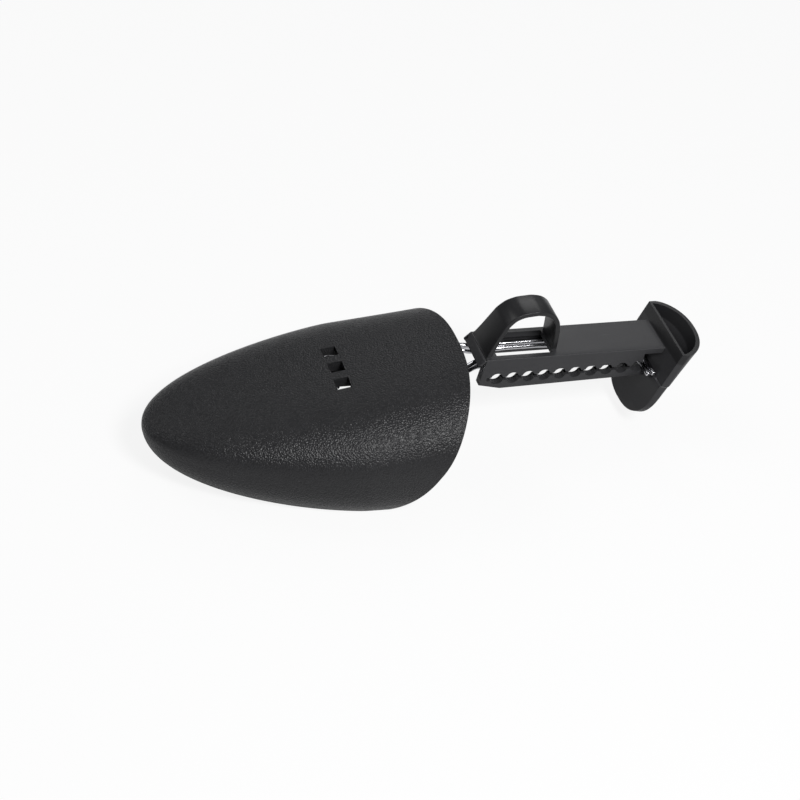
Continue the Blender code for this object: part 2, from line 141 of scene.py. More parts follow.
class HandleSizes(bpy.types.PropertyGroup):
    offset: size("Beam offset", 0.01416, "Middle of the beam from the shell's middle")
    width: size("Beam width", 0.0198, "Width of the beam")
    front: size("Beam front", 0.1380, "Station of the beam's front")
    rear: size("Beam rear", 0.2156, "Station of the beam's rear end")
    top: size("Beam top", 0.0349, "Height of the top plate")
    plate: size("Plate", 0.0020, "Thickness of the top plate")
    web: size("Web", 0.0036, "Thickness of the side web with the holes")
    web_step: size("Web front step", 0.0004, "How far the web starts behind the plate")
    foot_station: size("Web foot", 0.1367, "Station of the web's front foot")
    foot_height: size("Web foot height", 0.0225, "Height of the web's front foot")
    belly_station: size("Web belly", 0.1459, "Where the web is deepest")
    belly_height: size("Web belly height", 0.0203, "Lowest height of the web")
    web_rear_height: size("Web rear height", 0.0217, "Height of the web's lower edge at the cup")
    skirt: size("Far wall", 0.0018, "Thickness of the far side wall")
    skirt_height: size("Lip height", 0.0031, "Height of the front lip")
    wall_station: size("Far wall front", 0.1415, "Station of the deep far wall's front")
    wall_low: size("Far wall low edge", 0.0240, "Height of the far wall's lower edge")
    lip: size("Front lip", 0.0016, "Thickness of the front lip")
    lip_lean: size("Lip lean", 0.0029, "How far the front lip leans towards the toe")
    edge_round: size("Edge rounding", 0.00035, "Rounding of the moulded edges")
    hole: size("Hole", 0.0052, "Diameter of a latching hole")
    hole_first: size("First hole", 0.1440, "Station of the first hole")
    hole_pitch: size("Hole pitch", 0.00676, "Hole to hole")
    hole_low: size("First hole height", 0.02525, "Height of the first hole")
    hole_high: size("Last hole height", 0.02625, "Height of the last hole")
    slot: size("Slot", 0.0015, "Height of the slot that joins the holes")
    end_clear: size("Notch clearance", 0.00135, "Depth of the end notch under the middle of the wire's ends")
    slot_lead: size("Slot lead", 0.0044, "Start of the slot before the first hole's middle")
    notch: size("End notch", 0.2070, "Station where the open notch at the slot's end starts")
    window_front: size("Window front", 0.1433, "Front of the window under the ring")
    window_rear: size("Window rear", 0.1672, "Rear of the window under the ring")
    window_near: size("Near margin", 0.0027, "Plate left beside the window, hole side")
    window_far: size("Far margin", 0.0024, "Plate left beside the window, other side")
    ring_top: size("Ring top", 0.0540, "Height of the finger ring")
    strap: size("Strap", 0.0020, "Thickness of the ring's strap")
    strap_foot: size("Strap foot", 0.0190, "Width of the strap at its front foot")
    strap_top: size("Strap top", 0.0123, "Width of the strap at its top")
    strap_shift: size("Strap shift", 0.0006, "Sideways set of the strap's top")
    cup_offset: size("Cup offset", 0.0107, "Middle of the heel cup from the shell's middle")
    cup_top: size("Cup top", 0.03975, "Height of the heel cup's rim")
    cup_tip: size("Tongue tip", 0.0051, "Height of the tongue's lowest point")
    cup_half: size("Cup half width", 0.0191, "Half the cup's width at its rim")
    cup_low_half: size("Tongue half width", 0.0190, "Half the tongue's width")
    cup_depth: size("Cup depth", 0.01251, "Depth of the cup at its rim")
    cup_wall: size("Cup wall", 0.0016, "Wall thickness of the cup's back")
    cup_front_wall: size("Cup front wall", 0.0010, "Thickness of the cup's flat front")
    cup_floor: size("Cup floor", 0.0170, "Height of the cup's floor")
    ledge_height: size("Ledge height", 0.0244, "Height of the low step on the tongue's face")
    ledge: size("Ledge", 0.0006, "Rise of that step")
    tongue_edge: size("Tongue edge", 0.0022, "Thickness of the tongue's rim")
    cup_lean: share("Cup lean", 0.39, "How far the cup's front leans per unit of height")
    holes: IntProperty(name="Holes", default=10, min=2, description="Number of latching holes")


class ShaperColours(bpy.types.PropertyGroup):
    shell: colour("Shell", (0.0160, 0.0160, 0.0171), "Grained black plastic of the toe shell")
    handle: colour("Handle", (0.030, 0.030, 0.032), "Smooth black plastic of the handle")
    wire: colour("Wire", (0.52, 0.52, 0.54), "Bright drawn steel wire")
    floor: colour("Floor", (0.76, 0.76, 0.76), "Pale studio floor")


# Surfaces

# Outside of the finger ring's strap from its front foot over the top to its rear foot: shares of
# the ring's length and of its rise.
RING_LINE = (
    (0.000, 0.000), (0.082, 0.260), (0.165, 0.520), (0.233, 0.725), (0.335, 0.893),
    (0.470, 0.974), (0.670, 1.003), (0.815, 0.962), (0.917, 0.845), (0.975, 0.684),
    (0.998, 0.415), (1.000, 0.200), (1.000, 0.000),
)


def station(x):
    """Distance from the toe tip as a place along X."""
    return TOE_X + x


def unit(v):
    """Vectors divided by their length."""
    return v / np.maximum(np.linalg.norm(v, axis=-1, keepdims=True), 1e-12)


def nearest(values, value):
    """Index of the entry that comes closest to a value."""
    return np.argmin(np.abs(values - value))


def run_lengths(line):
    """Length of a line of points from its start to each of them."""
    return np.concatenate([[0.0], np.cumsum(np.linalg.norm(np.diff(line, axis=0), axis=1))])


def quads(rows, cols, around=False):
    """Index rows of the quads of a grid, its columns closed on themselves where around is set."""
    r = np.arange(rows - 1)[:, None] * cols
    c = np.arange(cols if around else cols - 1)[None, :]
    d = (c + 1) % cols
    return np.stack([r + c, r + d, r + cols + d, r + cols + c], axis=-1).reshape(-1, 4)


def put_object(name, data):
    """An object of the scene from its mesh, lamp or camera data."""
    made = bpy.data.objects.new(name, data)
    bpy.context.scene.collection.objects.link(made)
    return made


def put_mesh(name, points, faces, uv=None):
    """A mesh object from an array of points and a list of face arrays."""
    mesh = bpy.data.meshes.new(name)
    faces = [face for group in faces for face in group.tolist()]
    mesh.from_pydata(np.asarray(points, dtype=np.float32).reshape(-1, 3), [], faces)
    if uv is not None:
        places = np.asarray(uv, dtype=np.float32)[np.concatenate(faces)]
        mesh.uv_layers.new(name="along").data.foreach_set("uv", places.ravel())
    mesh.validate()
    return put_object(name, mesh)


def close_and_turn_out(piece, distance, smooth):
    """Merges doubled points, turns the faces outwards and sets the sharp edges."""
    shape = bmesh.new()
    shape.from_mesh(piece.data)
    bmesh.ops.remove_doubles(shape, verts=shape.verts, dist=distance)
    bmesh.ops.recalc_face_normals(shape, faces=shape.faces)
    shape.to_mesh(piece.data)
    shape.free()
    piece.data.shade_smooth()
    piece.data.set_sharp_from_angle(angle=math.radians(smooth))
    return piece


def round_edges(piece, width, angle=40.0, segments=3):
    """Rounds the edges whose faces meet at more than the angle."""
    step = piece.modifiers.new("edges", "BEVEL")
    step.width = width
    step.segments = segments
    step.limit_method = "ANGLE"
    step.angle_limit = math.radians(angle)
    return piece


def tube(name, points, distance=1e-7, smooth=35.0):
    """Closed rings of points joined row to row by quads, with a face over each end."""
    rows, n = points.shape[:2]
    caps = np.stack([np.arange(n), (rows - 1) * n + np.arange(n)])
    piece = put_mesh(name, points, [quads(rows, n, around=True), caps])
    return close_and_turn_out(piece, distance, smooth)


def slab(name, outline, low, high):
    """An outline of stations and heights carried straight across from one side place to another."""
    outline = np.asarray(outline, dtype=float)
    points = np.zeros((2, len(outline), 3))
    points[:, :, 0] = station(outline[:, 0])
    points[0, :, 1] = low
    points[1, :, 1] = high
    points[:, :, 2] = outline[:, 1]
    return tube(name, points, distance=2e-6, smooth=30.0)


def ease(t):
    """Smooth step of a share, which is held between nought and one."""
    t = np.clip(t, 0.0, 1.0)
    return t * t * (3.0 - 2.0 * t)


def half_width_at(s, x):
    """Half the shell's width: a superellipse in the distance from the tip."""
    rest = np.clip(1.0 - x / s.width_round, 0.0, None)
    at_line = 1.0 - max(1.0 - s.line_station / s.width_round, 0.0) ** s.side_start
    full = s.width / 2 / at_line ** (1.0 / s.side_end)
    return full * (1.0 - rest ** s.side_start) ** (1.0 / s.side_end)


def ridge_over_line(s, x):
    """Height of the ridge over the widest line: a second superellipse along the shell."""
    rest = np.clip(1.0 - x / s.top_length, 0.0, None)
    return (s.ridge_height - s.line_height) * (1.0 - rest ** s.ridge_start) ** (1.0 / s.ridge_end)


def belly_under_line(s, x):
    """Depth of the full lower curve: a quarter circle along the shell."""
    rest = np.clip(1.0 - x / s.lower_round, 0.0, None)
    return s.lower_depth * np.sqrt(1.0 - rest ** 2)


def shell_grid(s, rows, half_columns, lower_columns):
    """Outer skin of the shell as rows from tip to rim and columns from one lower edge over the
    ridge to the other. In a section the side place goes as the sine and the height as the cosine
    of the turn from the ridge, both to the section's power; the rear rim leans forward by a cubic
    in the fall from the ridge; near the vents the columns run straight so that their edges fall on
    grid lines."""
    power = s.section
    crowd_at_ridge = 1.12
    late_lean = 2.5
    first_rows = np.array([0.02, 0.2, 0.5])
    hold_along = s.vent * 1.6
    hold_across = s.vent_pitch * 1.8
    quarter = math.pi / 2

    at_rim = np.arccos(-(s.line_height / belly_under_line(s, s.line_station)) ** (1.0 / power))
    vent_edges = [k * s.vent_pitch + e * s.vent for k in (0, 1) for e in (-0.5, 0.5) if k or e > 0]
    ref = half_width_at(s, np.array(s.vent_station))
    turns = np.linspace(0.0, 1.0, half_columns) ** crowd_at_ridge * quarter
    for t in np.arcsin((np.array(vent_edges) / ref) ** (1.0 / power)):
        turns[1 + nearest(turns[1:], t)] = t
    upper = np.concatenate([-turns[::-1], turns[1:]])
    lower = np.linspace(0.0, 1.0, lower_columns + 1)[1:]
    base = s.top_length * (1.0 - np.cos(np.linspace(0.0, quarter, rows)))[1:]
    base = np.concatenate([base[0] * first_rows, base])
    for e in (-0.5, 0.5):
        edge = s.vent_station + e * s.vent
        base[nearest(base, edge)] = edge

    below = np.cos(quarter + lower * (at_rim - quarter))
    rise_rim = np.concatenate([below[::-1], np.cos(upper), below])
    drop = s.ridge_height - s.line_height
    fall = drop - np.sign(rise_rim) * np.abs(rise_rim) ** power * np.where(rise_rim >= 0, drop, s.lower_depth)
    at_line = s.top_length - s.line_station
    marks = np.array([[0.5 * drop], [drop], [s.ridge_height]])
    leans = [s.side_lean * (1.0 - 0.5 ** (1.0 / power)), at_line, at_line - s.lower_lean * math.cos(at_rim)]
    weights = np.linalg.solve(marks ** np.array([1, 2, 3]), leans)
    lean = weights[0] * fall + weights[1] * fall ** 2 + weights[2] * fall ** 3
    x = base[:, None] - lean[None, :] * (base[:, None] / s.top_length) ** late_lean
    n = len(upper)
    mid = slice(lower_columns, lower_columns + n)
    wide = half_width_at(s, x)
    points = np.zeros(x.shape + (3,))
    points[..., 0] = x

    g = np.sign(upper) * np.abs(np.sin(upper)) ** power
    near_vent = ease(1.6 - np.abs(x[:, mid] - s.vent_station) / hold_along)
    hold = near_vent * ease(2.0 - np.abs(g) * ref / hold_across)[None, :]
    y = g[None, :] * (wide[:, mid] * (1 - hold) + ref * hold)
    points[:, mid, 1] = y
    share_out = np.clip(np.abs(y) / wide[:, mid], 0.0, 1.0) ** (1.0 / power)
    rise = np.sqrt(np.clip(1.0 - share_out ** 2, 0.0, 1.0))
    points[:, mid, 2] = s.line_height + ridge_over_line(s, x[:, mid]) * rise ** power

    for side, cols in ((-1, slice(0, lower_columns)), (1, slice(lower_columns + n, None))):
        part = lower[::-1] if side < 0 else lower
        depth = belly_under_line(s, x[:, cols])
        cut = np.clip((s.line_height / np.maximum(depth, 1e-6)), 0.0, 1.0) ** (1.0 / power)
        turn = quarter + part[None, :] * (np.arccos(-cut) - quarter)
        points[:, cols, 1] = side * wide[:, cols] * np.sin(turn) ** power
        points[:, cols, 2] = s.line_height - depth * np.abs(np.cos(turn)) ** power
    points[..., 2] = np.maximum(points[..., 2], 0.0)
    return points, base, g * ref


def shell_normals(points):
    """Unit normals of a grid from its two families of lines, turned outwards."""
    normal = unit(np.cross(np.gradient(points, axis=0), np.gradient(points, axis=1)))
    middle = points.shape[1] // 2
    return -normal if normal[-3, middle, 2] < 0 else normal


def roof_height(s, x, y):
    """Height of the shell's outer skin at a place over its widest line."""
    out = min(abs(y) / float(half_width_at(s, np.array(x))), 1.0) ** (1.0 / s.section)
    rise = math.sqrt(1.0 - out ** 2)
    return s.line_height + float(ridge_over_line(s, np.array(x))) * rise ** s.section


def toe_shell_surface(s):
    """The shell: its outer skin, the same grid moved in along its normals by the wall, strips that
    join the two at the rims, and the walls of three square vents. Where the lower edge lies on the
    ground the inner skin keeps its height, and before that the two sides meet in the middle."""
    ground = 1e-6
    outer, base, side = shell_grid(s, rows=118, half_columns=74, lower_columns=26)
    on_ground = outer[:, [0, -1], 2] < ground
    normal = shell_normals(outer)
    normal[-1, :, 0] = 0.0
    normal[:, [0, -1], 2] = np.where(on_ground, 0.0, normal[:, [0, -1], 2])
    inner = outer - unit(normal) * s.wall
    inner[:, [0, -1], 2] = np.where(on_ground, 0.0, inner[:, [0, -1], 2])
    inner[:, [0, -1], 1] = np.where(on_ground, inner[:, [0, -1], 1], 0.0)
    rows, cols = outer.shape[:2]
    count = rows * cols
    index = quads(rows, cols).reshape(rows - 1, cols - 1, 4)
    keep = np.ones((rows - 1, cols - 1), dtype=bool)
    walls = []

    def strip(a, b):
        return np.stack([a, b, b + count, a + count], axis=1)

    first = (cols - len(side)) // 2
    r0, r1 = (nearest(base, s.vent_station + e * s.vent / 2) for e in (-1, 1))
    for k in (-1, 0, 1):
        c0, c1 = (first + nearest(side, k * s.vent_pitch + e * s.vent / 2) for e in (-1, 1))
        keep[r0:r1, c0:c1] = False
        ring = [(r0, c) for c in range(c0, c1)] + [(r, c1) for r in range(r0, r1)]
        ring += [(r1, c) for c in range(c1, c0, -1)] + [(r, c0) for r in range(r1, r0, -1)]
        loop = np.array([r * cols + c for r, c in ring])
        walls.append(strip(loop, np.roll(loop, -1)))
    skin = index[keep]
    inside = skin[:, ::-1] + count
    rim = np.arange(cols - 1) + (rows - 1) * cols
    walls.append(strip(rim, rim + 1))
    edge = np.arange(np.where(on_ground[:, 0])[0][0], rows - 1)
    for c in (0, cols - 1):
        a = edge * cols + c
        walls.append(strip(a, a + cols))
    tips = np.array([[0.0, 0.0, s.line_height], [s.wall, 0.0, s.line_height]])
    c = np.arange(cols - 1)
    fan_out = np.stack([np.full(cols - 1, 2 * count), c + 1, c], axis=1)
    fan_in = np.stack([np.full(cols - 1, 2 * count + 1), c + count, c + 1 + count], axis=1)
    points = np.concatenate([outer.reshape(-1, 3), inner.reshape(-1, 3), tips])
    points[:, 0] = station(points[:, 0])
    piece = put_mesh("toe_shell_skin", points, [skin, inside] + walls + [fan_out, fan_in])
    close_and_turn_out(piece, distance=1e-6, smooth=38.0)
    return round_edges(piece, s.rim_round, angle=38.0, segments=2)


def hook_outline(s, wire, side):
    """Side line of one hook: a wall that hangs from the roof, a lip, and a barb at its end."""
    back = s.vent_station - s.vent / 2
    drop = s.hook_drop if side == 0 else 0.0
    lip = s.bar_height - wire.diameter / 2 - s.gap - drop
    top = roof_height(s, back, side * s.vent_pitch) - s.wall / 2
    tip = back + wire.diameter + 2 * s.gap + s.hook_barb_wall
    line = [(back - s.hook_wall, top), (back - s.hook_wall, lip - s.hook_lip), (tip, lip - s.hook_lip)]
    if side:
        line += [(tip, lip + s.hook_barb), (tip - s.hook_barb_wall, lip + s.hook_barb)]
        line += [(tip - s.hook_barb_wall, lip)]
    else:
        line += [(tip, lip)]
    return line + [(back, lip), (back, top)]


def well_outline(s, y):
    """Side line of one wall of a vent's well: it hangs from the roof beside the vent and ends clear
    above the wire."""
    front = s.vent_station - s.vent / 2 - s.hook_wall / 2
    rear = s.vent_station + s.vent
    low = s.bar_height + s.well
    return [
        (front, roof_height(s, front, y) - s.wall / 2), (front, low), (rear, low),
        (rear, roof_height(s, rear, y) - s.wall / 2),
    ]


def rounded_path(corners, steps):
    """Straight runs joined by arcs: each corner is cut back by its radius times the tangent of
    half its turn, and the arc is a weighted mean of its two end radii."""
    places = [np.array(p, dtype=float) for p, _ in corners]
    out = [places[0][None]]
    for i in range(1, len(corners) - 1):
        before = places[i - 1] - places[i]
        after = places[i + 1] - places[i]
        u, v = unit(before), unit(after)
        turn = math.pi - math.acos(max(-1.0, min(1.0, float(u @ v))))
        half = math.tan(turn / 2)
        reach = min(corners[i][1] * half, np.linalg.norm(before) * 0.49, np.linalg.norm(after) * 0.49)
        radius = reach / half
        centre = places[i] + unit(u + v) * math.hypot(radius, reach)
        start = places[i] + u * reach - centre
        end = places[i] + v * reach - centre
        t = np.linspace(0.0, 1.0, max(3, math.ceil(steps * turn / (math.pi / 2))) + 1)[:, None]
        arc = (np.sin((1 - t) * turn) * start + np.sin(t * turn) * end) / math.sin(turn)
        out.append(centre + arc)
    out.append(places[-1][None])
    return np.concatenate(out)


def beam_sides(h):
    """Side places of the beam's outer faces, the hole side first."""
    return h.offset - h.width / 2, h.offset + h.width / 2


def wire_corners(s, w, h):
    """Corners and bend radii of the wire, from one latching end round both loops to the other."""
    radius = w.diameter / 2
    bar = s.vent_station - s.vent / 2 + s.gap + radius
    near_side, far_side = beam_sides(h)
    near_y = near_side + h.web + w.side_inset + radius
    far_y = far_side - h.skirt - w.side_inset - radius
    tip = near_side - w.pin_overhang
    low, high = w.level, w.level + w.pitch
    run = h.front - bar
    # Of the run from the bars to the beam, of the rise to the bars, of the way back to a bar's end.
    fan_shares = ((0.78, 0.22, 0.0), (0.42, 0.52, 0.55), (0.13, 0.90, 1.0))

    def fan(level, front_y, fan_y, bar_y):
        places = [((h.front, front_y, level + w.front_lift), w.fan_bend)]
        for along, lift, back in fan_shares:
            y = fan_y + (bar_y - fan_y) * back
            places.append(((bar + along * run, y, level + lift * (s.bar_height - level)), w.fan_bend))
        return places + [((bar, bar_y, s.bar_height), w.loop_bend)]

    near_front = near_y + w.near_bulge
    far_front = far_y + w.far_bulge
    near_low = fan(low, near_front, near_front - w.near_fan, -w.outer_reach)
    near_high = fan(high, near_front, near_front - w.near_fan, -w.inner_reach)
    far_low = fan(low, far_front, far_front + w.far_fan, w.outer_reach)
    far_high = fan(high, far_front, far_front + w.far_fan, w.inner_reach)
    first = w.pin_station - w.pin_spacing / 2
    second = w.pin_station + w.pin_spacing / 2
    inside = h.front + w.bulge_run
    low_level, high_level = low + w.far_low_lift, high + w.far_high_lift
    easy, loop = w.fan_bend, w.loop_bend
    line = [
        ((first, tip, low), 0.0), ((first, near_y, low), w.pair_bend), ((inside, near_y, low), easy),
        *near_low, *near_high[::-1],
        ((inside, near_y, high), easy), ((w.cross_station, near_y, high), loop),
        ((w.cross_station, far_y, high_level), loop), ((inside, far_y, high_level), easy),
        *far_high, *far_low[::-1],
        ((inside, far_y, low_level), easy), ((h.window_rear, far_y, low_level), easy),
        ((second - w.descent_run, far_y, low), easy), ((second, far_y, low), w.pair_bend),
        ((second, tip, low), 0.0),
    ]
    return [((station(x), y, z), r) for (x, y, z), r in line]


def wire_surface(s, w, h):
    """Round wire along its path: each ring is the last one turned only as far as the path turns,
    and the two ends are closed by a shrinking ring, as a sheared and tumbled end."""
    path = rounded_path(wire_corners(s, w, h), steps=14)
    path = path[np.concatenate([[True], np.linalg.norm(np.diff(path, axis=0), axis=1) > 1e-7])]
    tangent = unit(np.gradient(path, axis=0))
    radius = w.diameter / 2
    bite = radius * 0.3
    end_share, near_end_share = 0.62, 0.88
    head = path[0] + tangent[0] * np.array([[0.0], [bite * 0.3], [bite]])
    tail = path[-1] - tangent[-1] * np.array([[bite], [bite * 0.3], [0.0]])
    path = np.concatenate([head, path[1:-1], tail])
    tangent = np.concatenate([tangent[[0, 0, 0]], tangent[1:-1], tangent[[-1, -1, -1]]])
    wide = np.full(len(path), radius)
    wide[[0, -1]] = radius * end_share
    wide[[1, -2]] = radius * near_end_share
    side = np.zeros_like(path)
    now = np.cross(tangent[0], (0.0, 0.0, 1.0))
    for i, t in enumerate(tangent):
        side[i] = now = unit(now - t * (now @ t))
    up = np.cross(tangent, side)
    sides = 24
    a = np.linspace(0.0, 2 * math.pi, sides + 1)
    ring = np.cos(a)[None, :, None] * side[:, None] + np.sin(a)[None, :, None] * up[:, None]
    points = path[:, None] + wide[:, None, None] * ring
    shares = np.broadcast_arrays(a / (2 * math.pi), run_lengths(path)[:, None] / w.diameter)
    uv = np.stack(shares, axis=-1)
    rows = len(path)
    caps = np.stack([np.arange(sides)[::-1], (rows - 1) * (sides + 1) + np.arange(sides)])
    piece = put_mesh("bent_wire", points, [quads(rows, sides + 1), caps], uv=uv.reshape(-1, 2))
    return close_and_turn_out(piece, distance=1e-7, smooth=50.0)


def slot_edges(h, wire, x):
    """Upper and lower edge of the joined row of holes at each station: the edges of a narrow slot
    along the line of the holes' middles or, where it reaches further, the half circle of the hole
    there; behind the last hole the open notch for the wire's ends."""
    x = np.asarray(x, dtype=float)
    k = np.arange(h.holes)
    centre = h.hole_first + k * h.hole_pitch
    level = h.hole_low + (h.hole_high - h.hole_low) * k / (h.holes - 1)
    off = (x[:, None] - centre[None, :]) / (h.hole / 2)
    inside = np.abs(off) < 1.0
    arc = np.sqrt(np.clip(1.0 - off ** 2, 0.0, 1.0)) * h.hole / 2
    top = np.where(inside, level[None, :] + arc, -1.0).max(axis=1)
    bottom = np.where(inside, level[None, :] - arc, 1.0).min(axis=1)
    in_slot = x > h.hole_first - h.slot_lead
    line = h.hole_low + (h.hole_high - h.hole_low) * (x - h.hole_first) / (centre[-1] - h.hole_first)
    top = np.maximum(top, np.where(in_slot, line + h.slot / 2, -1.0))
    bottom = np.minimum(bottom, np.where(in_slot, line - h.slot / 2, 1.0))
    top = np.where(x > h.notch, h.top - h.plate * 1.25, top)
    bottom = np.where(x > h.notch, np.minimum(bottom, wire.level - h.end_clear), bottom)
    shut = top < bottom
    return np.where(shut, wire.level, top), np.where(shut, wire.level, bottom)


def cup_plane(h, z):
    """Station of the heel cup's flat leaning front at a height."""
    return h.rear - h.cup_lean * (h.top - z)


def in_cup_wall(h, z):
    """Where the beam ends, half way into the cup's front wall."""
    return cup_plane(h, z) + h.cup_front_wall / 2


def web_front(h, z):
    """Station of the web's leaning front edge at a height."""
    start = h.front + h.web_step
    return start + (h.foot_station - start) * (h.top - z) / (h.top - h.foot_height)


def web_bottom(h, x):
    """Lower edge of the web: a chamfer to its deepest place and a slow rise to the cup."""
    places = [h.foot_station, h.belly_station, cup_plane(h, h.web_rear_height)]
    return np.interp(x, places, [h.foot_height, h.belly_height, h.web_rear_height])


def beam_stations(h):
    """Stations along the beam, dense round each hole and doubled where the section steps."""
    end = h.rear + h.cup_front_wall / 2
    step, hole_marks, even_marks, just_inside = 1e-6, 41, 80, 0.99999
    marks = [h.front, h.belly_station, h.window_front, h.window_rear, end]
    for place in (h.hole_first - h.slot_lead, h.notch, h.wall_station):
        marks += [place - step, place + step]
    t = -np.cos(np.linspace(0.0, math.pi, hole_marks))
    for k in range(h.holes):
        marks.append(h.hole_first + k * h.hole_pitch + t * h.hole / 2 * just_inside)
    marks.append(np.linspace(h.front, h.rear, even_marks))
    x = np.unique(np.concatenate([np.atleast_1d(m) for m in marks]))
    return x[(x >= h.front) & (x <= end)]


def round_corner(a, b, c, radius, steps=4):
    """Points of a quarter rounding at corner b between the lines to a and c."""
    a, b, c = (np.array(p, dtype=float) for p in (a, b, c))
    u, v = unit(a - b), unit(c - b)
    t = np.linspace(0.0, math.pi / 2, steps + 1)[:, None]
    centre = b + (u + v) * radius
    return centre - v * radius * np.cos(t) - u * radius * np.sin(t)


def beam_surface(h, wire):
    """Upper beam: a section of web, top plate and far wall carried from the front to the cup; the
    web's lower line follows the row of holes, the far wall steps down behind the front lip, and
    the plate's faces over the window are left out and its edges joined by walls."""
    near, far = beam_sides(h)
    inner = near + h.web
    under = h.top - h.plate
    skirt_in = far - h.skirt
    skirt_low = h.top - h.skirt_height
    r = h.edge_round
    same = 1e-6
    win = (near + h.window_near, far - h.window_far)
    x = beam_stations(h)
    top_edge, _ = slot_edges(h, wire, x)

    first = round_corner((near, wire.level), (near, h.top), (far, h.top), r)
    second = round_corner((near, h.top), (far, h.top), (far, skirt_low), r)
    low_out = round_corner((far, h.top), (far, skirt_low), (skirt_in, skirt_low), r)
    low_in = round_corner((far, skirt_low), (skirt_in, skirt_low), (skirt_in, under), r)
    section = [(near, None), *first]
    top_near = len(section)
    section += [(win[0], h.top), (win[1], h.top), *second, *low_out, *low_in, (skirt_in, under)]
    low_far = len(section)
    section += [(win[1] - r * 2, under), (inner, under), (inner, None)]
    n = len(section)
    y = np.array([p[0] for p in section])
    z = np.zeros((len(x), n))
    for j, (_, height) in enumerate(section):
        z[:, j] = top_edge if height is None else height
    lowered = (y > skirt_in - same) & (z[0] < skirt_low + 2 * r)
    z[:, lowered] += np.where(x > h.wall_station, h.wall_low - skirt_low, 0.0)[:, None]
    xs = np.repeat(x[:, None], n, axis=1)
    lean_line = h.front - h.lip_lean * (h.top - z[0]) / h.skirt_height
    xs[0] = np.where(y <= inner + same, web_front(h, z[0]), lean_line)
    xs[-1] = in_cup_wall(h, z[-1])
    xs = np.minimum(xs, in_cup_wall(h, z))
    points = np.stack([station(xs), np.broadcast_to(y, xs.shape), z], axis=-1)
    index = quads(len(x), n, around=True).reshape(len(x) - 1, n, 4)
    keep = np.ones((len(x) - 1, n), dtype=bool)
    r0, r1 = nearest(x, h.window_front), nearest(x, h.window_rear)
    keep[r0:r1, [top_near, low_far]] = False
    here = np.arange(r0, r1) * n
    there = here + n
    a, b, c, d = top_near, top_near + 1, low_far, low_far + 1
    faces = [index[keep]]
    for p, q in ((a, d), (b, c)):
        faces.append(np.stack([here + p, there + p, there + q, here + q], axis=1))
    faces.append(np.array([[row * n + corner for corner in (a, b, c, d)] for row in (r0, r1)]))
    faces.append(np.stack([np.arange(n), (len(x) - 1) * n + np.arange(n)]))
    return close_and_turn_out(put_mesh("beam_upper", points, faces), distance=1e-7, smooth=35.0)


def lower_web_surface(h, wire):
    """Lower strip of the web: a four sided section between the web's lower edge, rounded, and the
    lower edge of the row of holes, carried along the beam."""
    near = beam_sides(h)[0]
    inner = near + h.web
    r = h.edge_round
    x = beam_stations(h)
    x[0] = h.front + 1e-5
    edge = slot_edges(h, wire, x)[1]
    low = web_bottom(h, x)
    low[0] = web_bottom(h, h.foot_station)
    t = np.linspace(0.0, math.pi / 2, 5)
    side = np.concatenate([[near], near + r - r * np.cos(t), inner - r + r * np.sin(t), [inner]])
    lift = np.concatenate([[0.0], r - r * np.sin(t), r - r * np.cos(t), [0.0]])
    z = low[:, None] + lift[None, :]
    z[:, [0, -1]] = edge[:, None]
    xs = np.repeat(x[:, None], len(side), axis=1)
    xs[0] = web_front(h, z[0])
    xs = np.minimum(xs, in_cup_wall(h, z))
    return tube("beam_lower_web", np.stack([station(xs), np.broadcast_to(side, xs.shape), z], axis=-1))


def lip_surface(h):
    """Front lip: a leaning strip under the plate's front edge, from the web to the far wall."""
    near, far = beam_sides(h)
    low = h.top - h.skirt_height
    step = h.plate * 0.2
    lean = h.lip_lean / h.skirt_height
    line = [
        (h.front - lean * step, h.top - step), (h.front - h.lip_lean, low),
        (h.front - h.lip_lean + h.lip, low), (h.front + h.lip, h.top - step),
    ]
    piece = slab("beam_front_lip", line, near + h.edge_round, far - h.edge_round)
    return round_edges(piece, h.edge_round)


def ring_surface(h, gap):
    """Finger ring: a flat strap whose outside follows a side line of listed shares, its inside
    the same line moved in by the strap's thickness; its width narrows as the root of its height."""
    rise = h.ring_top - h.top
    start = h.front + gap
    span = h.window_rear + gap + h.strap - start
    corners = [((start + span * a, 0.0, h.top + rise * b), h.strap * 4) for a, b in RING_LINE]
    line = rounded_path(corners, steps=24)[:, [0, 2]]
    length = run_lengths(line)
    rings = 150
    even = np.linspace(0.0, length[-1], rings)
    line = np.stack([np.interp(even, length, line[:, c]) for c in (0, 1)], axis=1)
    blur = np.array([1, 4, 6, 4, 1]) / 16
    for c in (0, 1):
        line[2:-2, c] = np.convolve(line[:, c], blur, mode="valid")
    tangent = unit(np.gradient(line, axis=0))
    inward = np.stack([tangent[:, 1], -tangent[:, 0]], axis=1)
    share_up = np.clip((line[:, 1] - h.top) / rise, 0.0, 1.0)
    front = even < length[-1] * 0.5
    width = np.where(front, h.strap_foot + (h.strap_top - h.strap_foot) * np.sqrt(share_up), h.strap_top)
    middle = h.offset + np.where(front, h.strap_shift * np.sqrt(share_up), h.strap_shift)
    r = min(h.edge_round, h.strap * 0.3)
    t = np.linspace(0.0, math.pi / 2, 4)
    side_in = r - r * np.sin(t)
    deep = r - r * np.cos(t)
    profile_side = np.repeat([-1.0, 1.0, 1.0, -1.0], len(t))
    profile_trim = np.concatenate([side_in[::-1], side_in, side_in[::-1], side_in])
    profile_deep = np.concatenate([deep[::-1], deep, h.strap - deep[::-1], h.strap - deep])
    y = middle[:, None] + profile_side[None, :] * (width[:, None] / 2 - profile_trim[None, :])
    place = line[:, None, :] + inward[:, None, :] * profile_deep[None, :, None]
    place[[0, -1], :, 1] = h.top - h.plate / 2
    return tube("finger_ring", np.stack([station(place[..., 0]), y, place[..., 1]], axis=-1))


